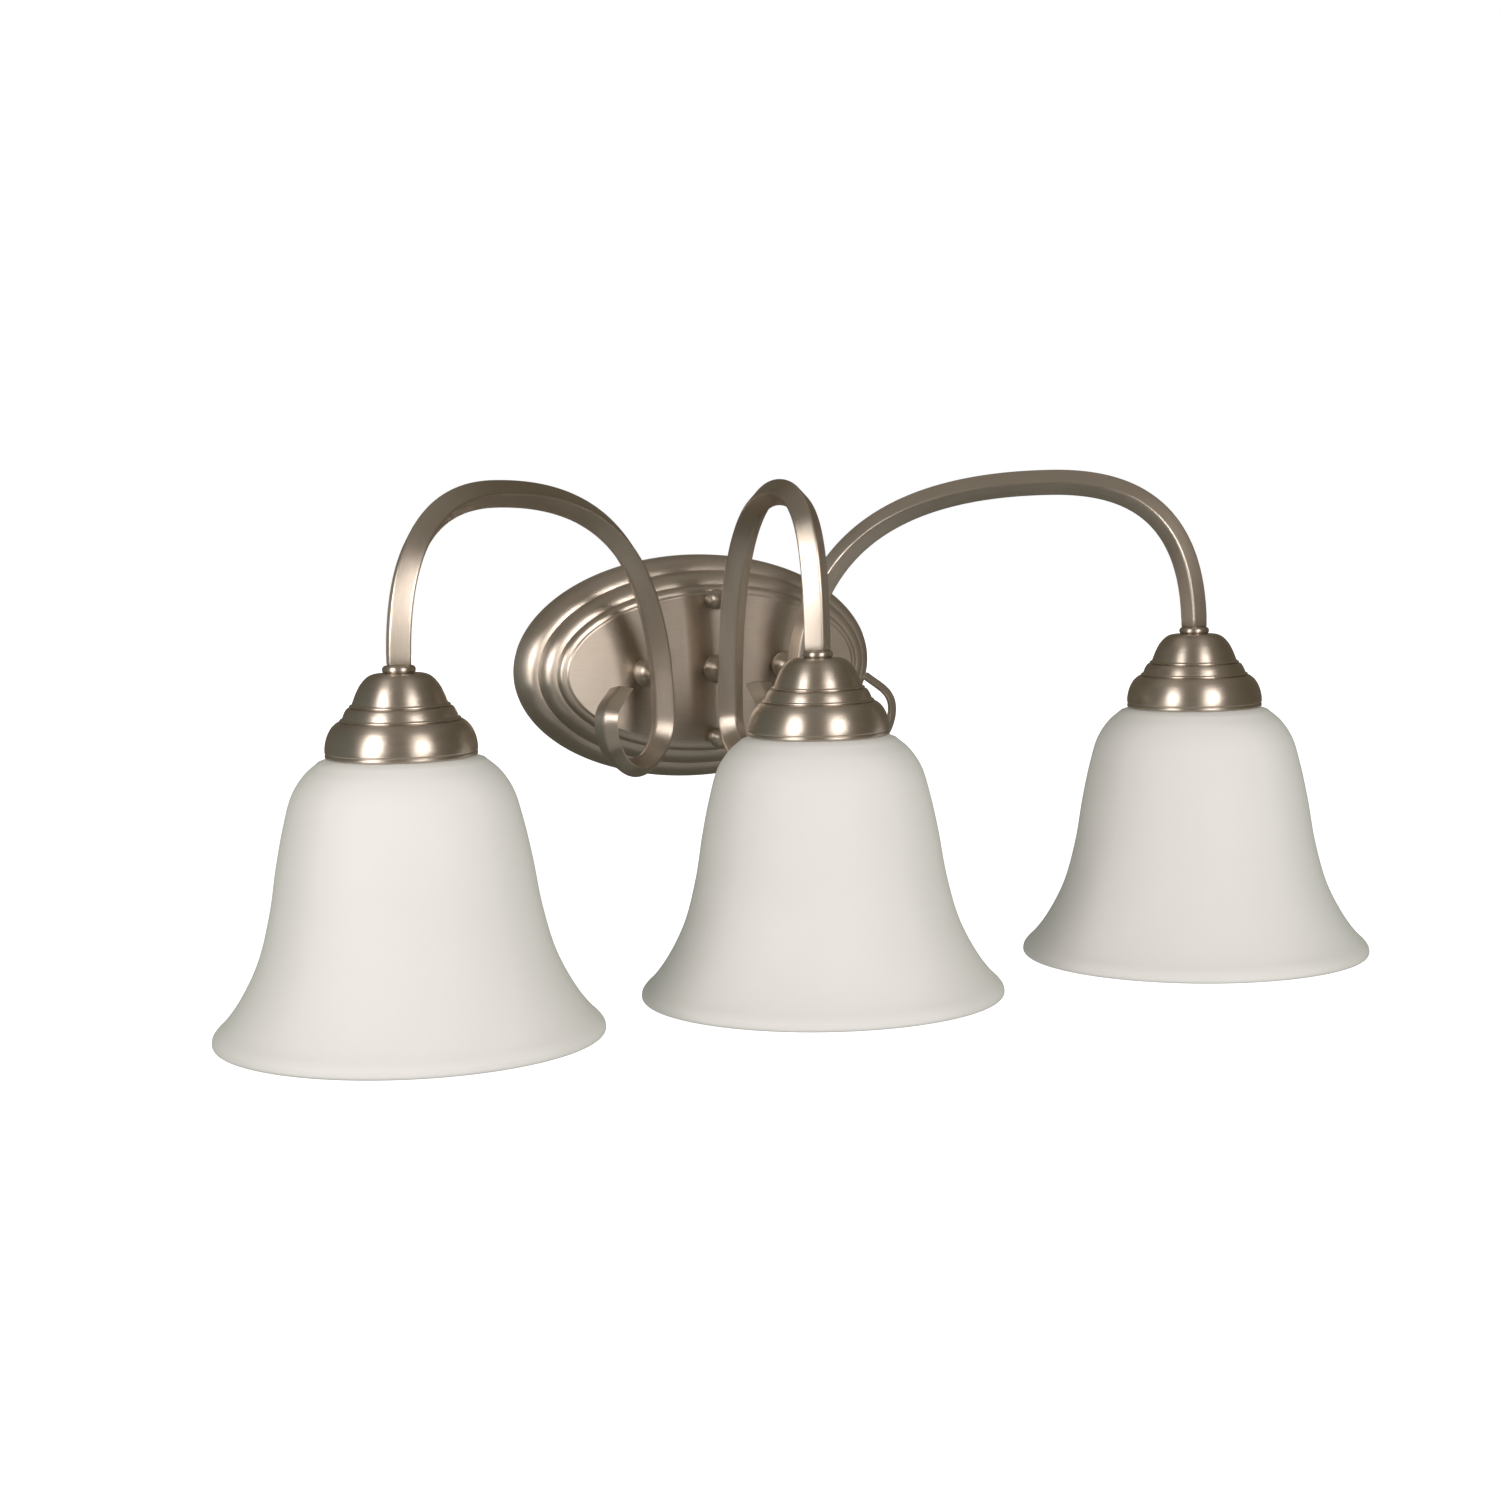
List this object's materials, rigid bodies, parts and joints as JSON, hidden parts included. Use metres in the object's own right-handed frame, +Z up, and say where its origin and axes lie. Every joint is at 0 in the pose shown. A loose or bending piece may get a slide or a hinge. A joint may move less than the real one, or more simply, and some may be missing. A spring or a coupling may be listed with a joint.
{
  "type": "vanity light bar",
  "caption": "Wall-mounted vanity light with an oval stepped backplate, gooseneck scroll arms, stepped fitters and downward satin glass bell shades.",
  "frame": {"origin": "centre of the mounting strap's back face, on the wall plane", "axes": "+X along the wall through the row of lamps, +Y into the wall, +Z up; the light stands out towards -Y"},
  "size_m": [0.578, 0.2536, 0.2435],
  "materials": {
    "brushed_nickel": "satin brushed nickel plate",
    "zinc_steel": "zinc-plated steel",
    "green_screw": "green ground screw",
    "porcelain": "glazed white",
    "aluminium": "satin",
    "opal_glass": "satin etched opal, opaque to the eye",
    "bulb_glass": "frosted white",
    "wire_insulation": "matt"
  },
  "bodies": {
    "fixture": {"arm_centre": "brushed_nickel", "arm_left": "brushed_nickel", "arm_right": "brushed_nickel", "backplate": "brushed_nickel", "box_screw_lower": "zinc_steel", "box_screw_upper": "zinc_steel", "fitter_centre": "brushed_nickel", "fitter_left": "brushed_nickel", "fitter_right": "brushed_nickel", "foot_collar_centre": "brushed_nickel", "foot_collar_left": "brushed_nickel", "foot_collar_right": "brushed_nickel", "foot_nipple_centre": "zinc_steel", "foot_nipple_left": "zinc_steel", "foot_nipple_right": "zinc_steel", "foot_nut_centre": "zinc_steel", "foot_nut_left": "zinc_steel", "foot_nut_right": "zinc_steel", "ground_screw": "green_screw", "lamp_holder_centre": "porcelain", "lamp_holder_left": "porcelain", "lamp_holder_right": "porcelain", "lead_centre": "wire_insulation", "lead_left": "wire_insulation", "lead_right": "wire_insulation", "lock_nut_centre": "zinc_steel", "lock_nut_left": "zinc_steel", "lock_nut_right": "zinc_steel", "mounting_strap": "zinc_steel", "plate_stud_lower": "zinc_steel", "plate_stud_upper": "zinc_steel", "screw_shell_centre": "aluminium", "screw_shell_left": "aluminium", "screw_shell_right": "aluminium", "spacer_centre": "brushed_nickel", "spacer_left": "brushed_nickel", "spacer_nipple_centre": "zinc_steel", "spacer_nipple_left": "zinc_steel", "spacer_nipple_right": "zinc_steel", "spacer_right": "brushed_nickel"},
    "shade_left": {"shade_left": "opal_glass"},
    "shade_ring_left": {"shade_ring_left": "porcelain"},
    "bulb_left": {"bulb_cap_left": "aluminium", "bulb_glass_left": "bulb_glass"},
    "shade_centre": {"shade_centre": "opal_glass"},
    "shade_ring_centre": {"shade_ring_centre": "porcelain"},
    "bulb_centre": {"bulb_cap_centre": "aluminium", "bulb_glass_centre": "bulb_glass"},
    "shade_right": {"shade_right": "opal_glass"},
    "shade_ring_right": {"shade_ring_right": "porcelain"},
    "bulb_right": {"bulb_cap_right": "aluminium", "bulb_glass_right": "bulb_glass"},
    "cap_nut_upper": {"cap_nut_upper": "brushed_nickel"},
    "cap_nut_lower": {"cap_nut_lower": "brushed_nickel"}
  },
  "joints": [
    {"name": "shade_left_drop", "type": "slide", "parent": "fixture", "child": "shade_left", "axis": [0, 0, -1], "range_m": [0, 0.00762]},
    {"name": "shade_ring_left_turn", "type": "hinge", "parent": "shade_left", "child": "shade_ring_left", "pos_m": [-0.2035, -0.157, -0.021], "axis": [0, 0, -1], "range_deg": [0, 1080]},
    {"name": "bulb_left_turn", "type": "hinge", "parent": "fixture", "child": "bulb_left", "pos_m": [-0.2035, -0.157, -0.04], "axis": [0, 0, -1], "range_deg": [0, 990]},
    {"name": "shade_centre_drop", "type": "slide", "parent": "fixture", "child": "shade_centre", "axis": [0, 0, -1], "range_m": [0, 0.00762]},
    {"name": "shade_ring_centre_turn", "type": "hinge", "parent": "shade_centre", "child": "shade_ring_centre", "pos_m": [0, -0.15, -0.024], "axis": [0, 0, -1], "range_deg": [0, 1080]},
    {"name": "bulb_centre_turn", "type": "hinge", "parent": "fixture", "child": "bulb_centre", "pos_m": [0, -0.15, -0.043], "axis": [0, 0, -1], "range_deg": [0, 990]},
    {"name": "shade_right_drop", "type": "slide", "parent": "fixture", "child": "shade_right", "axis": [0, 0, -1], "range_m": [0, 0.00762]},
    {"name": "shade_ring_right_turn", "type": "hinge", "parent": "shade_right", "child": "shade_ring_right", "pos_m": [0.2035, -0.157, -0.021], "axis": [0, 0, -1], "range_deg": [0, 1080]},
    {"name": "bulb_right_turn", "type": "hinge", "parent": "fixture", "child": "bulb_right", "pos_m": [0.2035, -0.157, -0.04], "axis": [0, 0, -1], "range_deg": [0, 990]},
    {"name": "cap_nut_upper_turn", "type": "hinge", "parent": "fixture", "child": "cap_nut_upper", "pos_m": [0, -0.0337, 0.0351], "axis": [0, -1, 0], "range_deg": [0, 2160]},
    {"name": "cap_nut_lower_turn", "type": "hinge", "parent": "fixture", "child": "cap_nut_lower", "pos_m": [0, -0.0337, -0.0351], "axis": [0, -1, 0], "range_deg": [0, 2160]}
  ],
  "couplings": [
    {"joint": "shade_ring_left_turn", "follows": "shade_left_drop", "rad_per_m": 2473.7},
    {"joint": "shade_ring_centre_turn", "follows": "shade_centre_drop", "rad_per_m": 2473.7},
    {"joint": "shade_ring_right_turn", "follows": "shade_right_drop", "rad_per_m": 2473.7}
  ]
}
